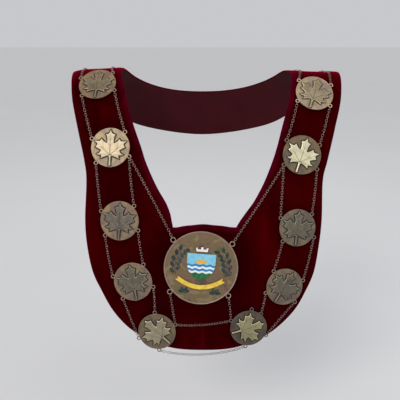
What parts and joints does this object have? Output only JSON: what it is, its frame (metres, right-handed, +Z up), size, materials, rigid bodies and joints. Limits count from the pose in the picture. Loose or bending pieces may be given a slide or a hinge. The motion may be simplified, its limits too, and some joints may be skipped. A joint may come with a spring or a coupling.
{
  "type": "mayoral chain of office",
  "caption": "Ceremonial collar of dark red velvet, worn over the shoulders, with bronze leaf medals and an enamelled round badge linked by fine cable chain.",
  "frame": {"origin": "midway between the two straps, on the ridge of the shoulders that the collar hangs on", "axes": "+Z up, -Y the way the wearer faces, +X to the right of someone who looks at the front"},
  "size_m": [0.3742, 0.2509, 0.3707],
  "materials": {
    "velvet": "deep burgundy velvet with a soft nap",
    "medal_bronze": "aged satin bronze",
    "badge_bronze": "satin bronze",
    "chain_bronze": "polished bronze wire",
    "shield_enamel": "gloss enamel",
    "ribbon_enamel": "gloss enamel",
    "crest_enamel": "gloss enamel"
  },
  "bodies": {
    "root": {"velvet_collar": "velvet", "medal_l1": "medal_bronze", "medal_l2": "medal_bronze", "medal_l3": "medal_bronze", "medal_l4": "medal_bronze", "medal_l5": "medal_bronze", "medal_r1": "medal_bronze", "medal_r2": "medal_bronze", "medal_r3": "medal_bronze", "medal_r4": "medal_bronze", "medal_r5": "medal_bronze", "badge_disc": "badge_bronze", "badge_shield": "shield_enamel", "badge_crest": "crest_enamel", "badge_ribbon": "ribbon_enamel", "chain_l1_l2_outer": "chain_bronze", "chain_l1_l2_inner": "chain_bronze", "chain_l2_l3_outer": "chain_bronze", "chain_l2_l3_inner": "chain_bronze", "chain_l3_l4_outer": "chain_bronze", "chain_l3_l4_inner": "chain_bronze", "chain_l4_l5_outer": "chain_bronze", "chain_l4_l5_inner": "chain_bronze", "chain_r1_r2_inner": "chain_bronze", "chain_r1_r2_outer": "chain_bronze", "chain_r2_r3_inner": "chain_bronze", "chain_r2_r3_outer": "chain_bronze", "chain_r3_r4_inner": "chain_bronze", "chain_r3_r4_outer": "chain_bronze", "chain_r4_r5_inner": "chain_bronze", "chain_r4_r5_outer": "chain_bronze", "chain_l2_badge": "chain_bronze", "chain_r2_badge": "chain_bronze", "chain_badge_l5": "chain_bronze", "chain_badge_r5": "chain_bronze", "chain_cross": "chain_bronze", "chain_hem": "chain_bronze", "chain_back_outer": "chain_bronze", "chain_back_inner": "chain_bronze"}
  },
  "joints": []
}
